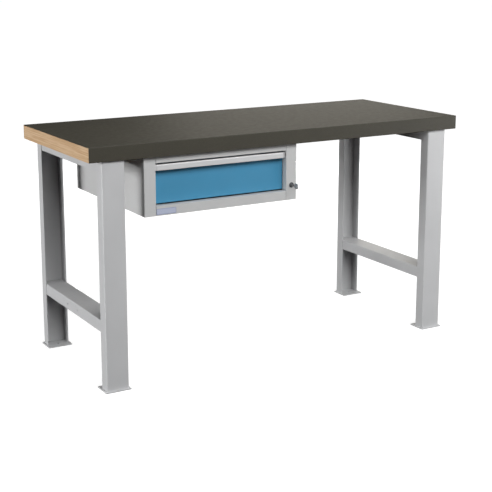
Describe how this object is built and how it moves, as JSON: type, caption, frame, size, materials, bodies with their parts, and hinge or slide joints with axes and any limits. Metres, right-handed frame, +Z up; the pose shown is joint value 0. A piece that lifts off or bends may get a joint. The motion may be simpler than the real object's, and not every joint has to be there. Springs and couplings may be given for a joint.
{
  "type": "workbench with drawer",
  "caption": "Workbench with a wood-core worktop, channel-section steel side frames on foot plates, and a lockable full-extension drawer hung under the top.",
  "frame": {"origin": "on the floor under the middle of the worktop, at the centre of the four floor anchor holes", "axes": "+X along the bench's length, to the right for someone facing the drawer; +Y from the front to the rear; +Z up"},
  "size_m": [1.5, 0.626, 0.83],
  "materials": {
    "worktop_wood": "bare beech, fine glued layers at the end, matt",
    "worktop_laminate": "dark grey, fine speckle, satin",
    "frame_paint": "light grey powder coat, fine orange peel, satin",
    "case_paint": "light grey powder coat, fine orange peel, satin",
    "drawer_paint": "light grey powder coat, satin",
    "front_paint": "blue powder coat, fine orange peel, satin",
    "grip_aluminium": "natural anodised, faint lengthwise lines",
    "cap_plastic": "light grey moulded plastic",
    "runner_steel": "bright zinc plate",
    "fastener_steel": "zinc plate",
    "lock_chrome": "bright nickel plate",
    "key_steel": "nickel-plated steel",
    "stop_rubber": "black rubber",
    "label_blank": "pale blank label"
  },
  "bodies": {
    "bench": {"case_back": "case_paint", "case_bottom": "case_paint", "case_left_side": "case_paint", "case_right_side": "case_paint", "case_top": "case_paint", "foot_plate_front_left": "frame_paint", "foot_plate_front_right": "frame_paint", "foot_plate_rear_left": "frame_paint", "foot_plate_rear_right": "frame_paint", "front_edge_band": "worktop_laminate", "label_plate": "label_blank", "lock_housing": "lock_chrome", "lock_nut": "fastener_steel", "rear_edge_band": "worktop_laminate", "runner_case_screws": "fastener_steel", "runner_outer_left": "runner_steel", "runner_outer_right": "runner_steel", "runner_stop_left": "stop_rubber", "runner_stop_right": "stop_rubber", "runner_support_left": "case_paint", "runner_support_right": "case_paint", "stretcher_left": "frame_paint", "stretcher_right": "frame_paint", "top_bar_left": "frame_paint", "top_bar_right": "frame_paint", "unit_screws": "fastener_steel", "upright_front_left": "frame_paint", "upright_front_right": "frame_paint", "upright_rear_left": "frame_paint", "upright_rear_right": "frame_paint", "worktop_core": "worktop_wood", "worktop_laminate": "worktop_laminate", "worktop_screws": "fastener_steel", "worktop_washers": "fastener_steel"},
    "drawer": {"drawer_back": "drawer_paint", "drawer_bottom": "drawer_paint", "drawer_box_front": "drawer_paint", "drawer_front_panel": "front_paint", "drawer_left_side": "drawer_paint", "drawer_right_side": "drawer_paint", "front_panel_screws": "fastener_steel", "handle_cap_left": "cap_plastic", "handle_cap_right": "cap_plastic", "handle_grip": "grip_aluminium", "handle_screws": "fastener_steel", "runner_drawer_screws": "fastener_steel", "runner_inner_left": "runner_steel", "runner_inner_right": "runner_steel"},
    "lock": {"lock_plug": "lock_chrome", "lock_cam": "runner_steel", "cam_screw": "fastener_steel"},
    "key": {"key": "key_steel"},
    "runner_mid_left": {"runner_mid_left": "runner_steel"},
    "outer_cage_left": {"runner_outer_cage_left": "runner_steel"},
    "inner_cage_left": {"runner_inner_cage_left": "runner_steel"},
    "runner_mid_right": {"runner_mid_right": "runner_steel"},
    "outer_cage_right": {"runner_outer_cage_right": "runner_steel"},
    "inner_cage_right": {"runner_inner_cage_right": "runner_steel"}
  },
  "joints": [
    {"name": "drawer_slide", "type": "slide", "parent": "bench", "child": "drawer", "axis": [0, -1, 0], "range_m": [0, 0.48]},
    {"name": "mid_left_slide", "type": "slide", "parent": "bench", "child": "runner_mid_left", "axis": [0, -1, 0], "range_m": [0, 0.24]},
    {"name": "outer_cage_left_slide", "type": "slide", "parent": "bench", "child": "outer_cage_left", "axis": [0, -1, 0], "range_m": [0, 0.12]},
    {"name": "inner_cage_left_slide", "type": "slide", "parent": "bench", "child": "inner_cage_left", "axis": [0, -1, 0], "range_m": [0, 0.36]},
    {"name": "mid_right_slide", "type": "slide", "parent": "bench", "child": "runner_mid_right", "axis": [0, -1, 0], "range_m": [0, 0.24]},
    {"name": "outer_cage_right_slide", "type": "slide", "parent": "bench", "child": "outer_cage_right", "axis": [0, -1, 0], "range_m": [0, 0.12]},
    {"name": "inner_cage_right_slide", "type": "slide", "parent": "bench", "child": "inner_cage_right", "axis": [0, -1, 0], "range_m": [0, 0.36]},
    {"name": "lock_turn", "type": "hinge", "parent": "bench", "child": "lock", "pos_m": [0.02, -0.284, 0.632], "axis": [0, 1, 0], "range_deg": [0, 90]},
    {"name": "key_pull", "type": "slide", "parent": "lock", "child": "key", "axis": [0, -1, 0], "range_m": [0, 0.026]}
  ],
  "couplings": [
    {"joint": "mid_left_slide", "follows": "drawer_slide", "ratio": 0.5},
    {"joint": "outer_cage_left_slide", "follows": "drawer_slide", "ratio": 0.25},
    {"joint": "inner_cage_left_slide", "follows": "drawer_slide", "ratio": 0.75},
    {"joint": "mid_right_slide", "follows": "drawer_slide", "ratio": 0.5},
    {"joint": "outer_cage_right_slide", "follows": "drawer_slide", "ratio": 0.25},
    {"joint": "inner_cage_right_slide", "follows": "drawer_slide", "ratio": 0.75}
  ]
}
